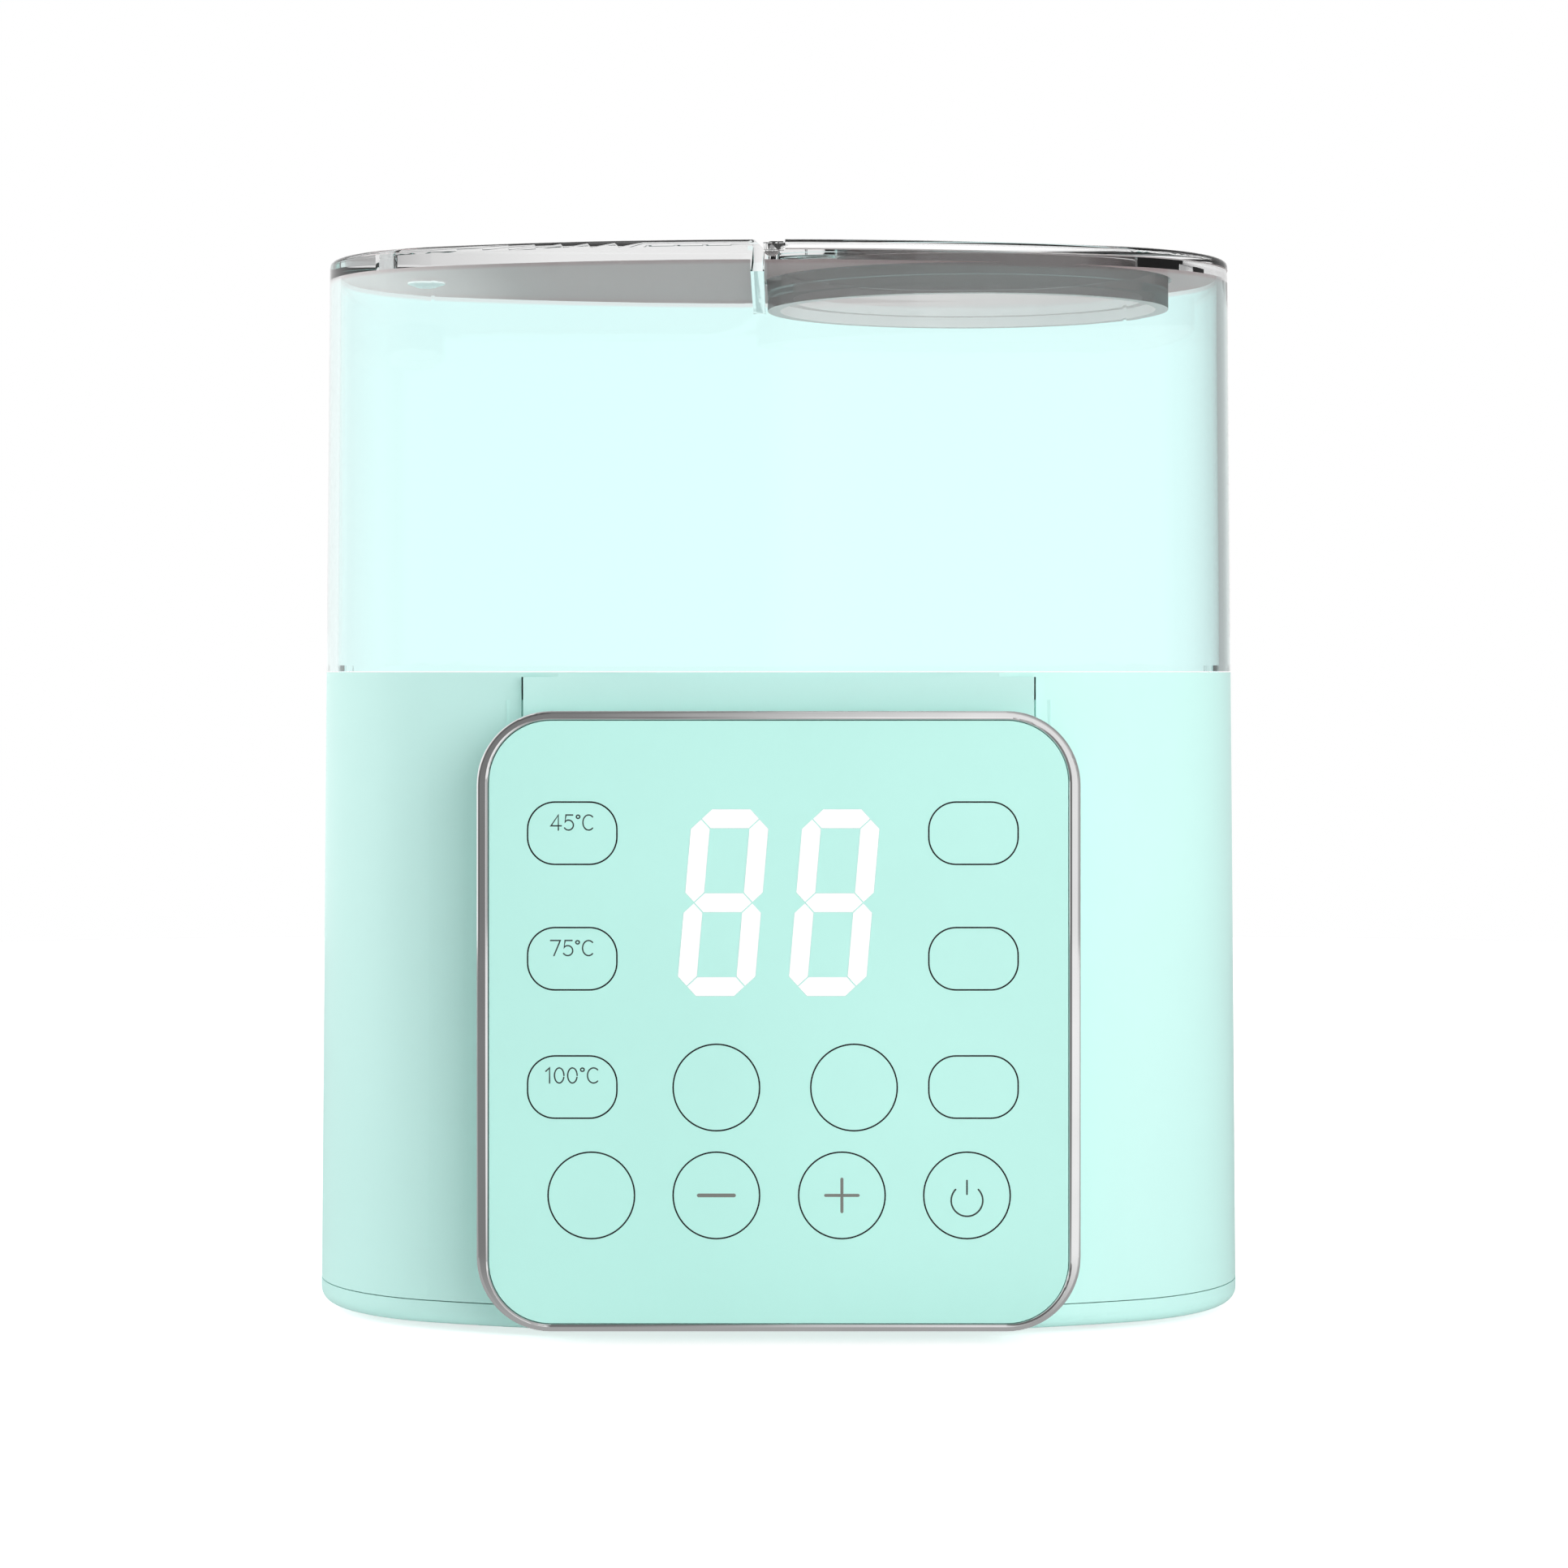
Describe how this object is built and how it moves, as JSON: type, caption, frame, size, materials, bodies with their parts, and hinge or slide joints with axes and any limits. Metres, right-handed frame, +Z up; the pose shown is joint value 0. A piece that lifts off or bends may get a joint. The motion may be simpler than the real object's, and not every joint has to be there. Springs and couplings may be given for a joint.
{
  "type": "bottle warmer",
  "caption": "Oval twin bottle warmer and steriliser with a clear lift-off cover, a hinged hatch, a lift-out bottle basket and a flat key panel.",
  "frame": {"origin": "on the standing surface, under the middle of the object's plan", "axes": "+Z up, the key panel faces -Y, +X to the right seen from the front"},
  "size_m": [0.21, 0.124, 0.239],
  "materials": {
    "mint_shell": "smooth satin injection-moulded mint plastic",
    "mint_panel": "smooth glossy mint panel",
    "mint_key": "smooth glossy mint key cap",
    "panel_chrome": "polished bright trim",
    "clear_aqua": "clear plastic with a faint aqua tint",
    "white_light": "white diffusing light guide",
    "white_plastic": "fine-grained white plastic",
    "grey_plastic": "matt grey plastic",
    "black_plastic": "matt black plastic",
    "grey_rubber": "matt silicone rubber",
    "clear_silicone": "translucent silicone",
    "bright_steel": "turned stainless steel",
    "cast_aluminium": "die-cast aluminium",
    "screw_steel": "zinc-plated steel",
    "circuit_green": "lacquered circuit board",
    "core_iron": "varnished laminated iron"
  },
  "bodies": {
    "base": {"outer_housing": "mint_shell", "base_cover": "mint_shell", "front_fascia": "mint_shell", "rim_ring": "mint_shell", "panel_tray": "mint_shell", "panel_face": "mint_panel", "panel_frame": "panel_chrome", "digit_segments": "white_light", "display_module": "white_plastic", "control_board": "circuit_green", "key_switches": "black_plastic", "panel_screws": "screw_steel", "rubber_feet": "grey_rubber", "base_screws": "screw_steel", "cord_gland": "grey_rubber", "gland_nut": "grey_plastic", "water_tank": "white_plastic", "rim_gasket": "clear_silicone", "heating_plate": "bright_steel", "plate_gasket": "clear_silicone", "heater_clamp": "cast_aluminium", "heater_screws": "screw_steel", "heating_element": "bright_steel", "thermostat": "black_plastic", "thermal_fuse": "white_plastic", "temperature_sensor": "bright_steel", "power_board": "circuit_green", "board_screws": "screw_steel", "transformer": "core_iron", "relay": "black_plastic", "capacitor": "black_plastic", "mains_connector": "white_plastic", "heater_leads": "grey_rubber", "ribbon_socket": "white_plastic", "ribbon_cable": "white_plastic"},
    "basket": {"bottle_basket": "white_plastic", "basket_handle": "mint_key"},
    "cover": {"clear_cover": "clear_aqua", "steam_vent": "white_plastic", "hinge_pins": "bright_steel"},
    "hatch": {"hatch_lid": "clear_aqua"},
    "low_temp_key_body": {"low_temp_key": "mint_key"},
    "mid_temp_key_body": {"mid_temp_key": "mint_key"},
    "high_temp_key_body": {"high_temp_key": "mint_key"},
    "upper_mode_key_body": {"upper_mode_key": "mint_key"},
    "middle_mode_key_body": {"middle_mode_key": "mint_key"},
    "lower_mode_key_body": {"lower_mode_key": "mint_key"},
    "round_key_left_body": {"round_key_left": "mint_key"},
    "round_key_right_body": {"round_key_right": "mint_key"},
    "timer_key_body": {"timer_key": "mint_key"},
    "minus_key_body": {"minus_key": "mint_key"},
    "plus_key_body": {"plus_key": "mint_key"},
    "power_key_body": {"power_key": "mint_key"}
  },
  "joints": [
    {"name": "cover_lift", "type": "slide", "parent": "base", "child": "cover", "axis": [0, 0, 1], "range_m": [0, 0.2]},
    {"name": "hatch_hinge", "type": "hinge", "parent": "cover", "child": "hatch", "pos_m": [-0.0015, 0, 0.2374], "axis": [0, -1, 0], "range_deg": [0, 110]},
    {"name": "basket_lift", "type": "slide", "parent": "base", "child": "basket", "axis": [0, 0, 1], "range_m": [0, 0.075]},
    {"name": "low_temp_key_press", "type": "slide", "parent": "base", "child": "low_temp_key_body", "axis": [0, 1, 0], "range_m": [0, 0.0006], "stiffness_N_per_m": 900},
    {"name": "mid_temp_key_press", "type": "slide", "parent": "base", "child": "mid_temp_key_body", "axis": [0, 1, 0], "range_m": [0, 0.0006], "stiffness_N_per_m": 900},
    {"name": "high_temp_key_press", "type": "slide", "parent": "base", "child": "high_temp_key_body", "axis": [0, 1, 0], "range_m": [0, 0.0006], "stiffness_N_per_m": 900},
    {"name": "upper_mode_key_press", "type": "slide", "parent": "base", "child": "upper_mode_key_body", "axis": [0, 1, 0], "range_m": [0, 0.0006], "stiffness_N_per_m": 900},
    {"name": "middle_mode_key_press", "type": "slide", "parent": "base", "child": "middle_mode_key_body", "axis": [0, 1, 0], "range_m": [0, 0.0006], "stiffness_N_per_m": 900},
    {"name": "lower_mode_key_press", "type": "slide", "parent": "base", "child": "lower_mode_key_body", "axis": [0, 1, 0], "range_m": [0, 0.0006], "stiffness_N_per_m": 900},
    {"name": "round_key_left_press", "type": "slide", "parent": "base", "child": "round_key_left_body", "axis": [0, 1, 0], "range_m": [0, 0.0006], "stiffness_N_per_m": 900},
    {"name": "round_key_right_press", "type": "slide", "parent": "base", "child": "round_key_right_body", "axis": [0, 1, 0], "range_m": [0, 0.0006], "stiffness_N_per_m": 900},
    {"name": "timer_key_press", "type": "slide", "parent": "base", "child": "timer_key_body", "axis": [0, 1, 0], "range_m": [0, 0.0006], "stiffness_N_per_m": 900},
    {"name": "minus_key_press", "type": "slide", "parent": "base", "child": "minus_key_body", "axis": [0, 1, 0], "range_m": [0, 0.0006], "stiffness_N_per_m": 900},
    {"name": "plus_key_press", "type": "slide", "parent": "base", "child": "plus_key_body", "axis": [0, 1, 0], "range_m": [0, 0.0006], "stiffness_N_per_m": 900},
    {"name": "power_key_press", "type": "slide", "parent": "base", "child": "power_key_body", "axis": [0, 1, 0], "range_m": [0, 0.0006], "stiffness_N_per_m": 900}
  ]
}
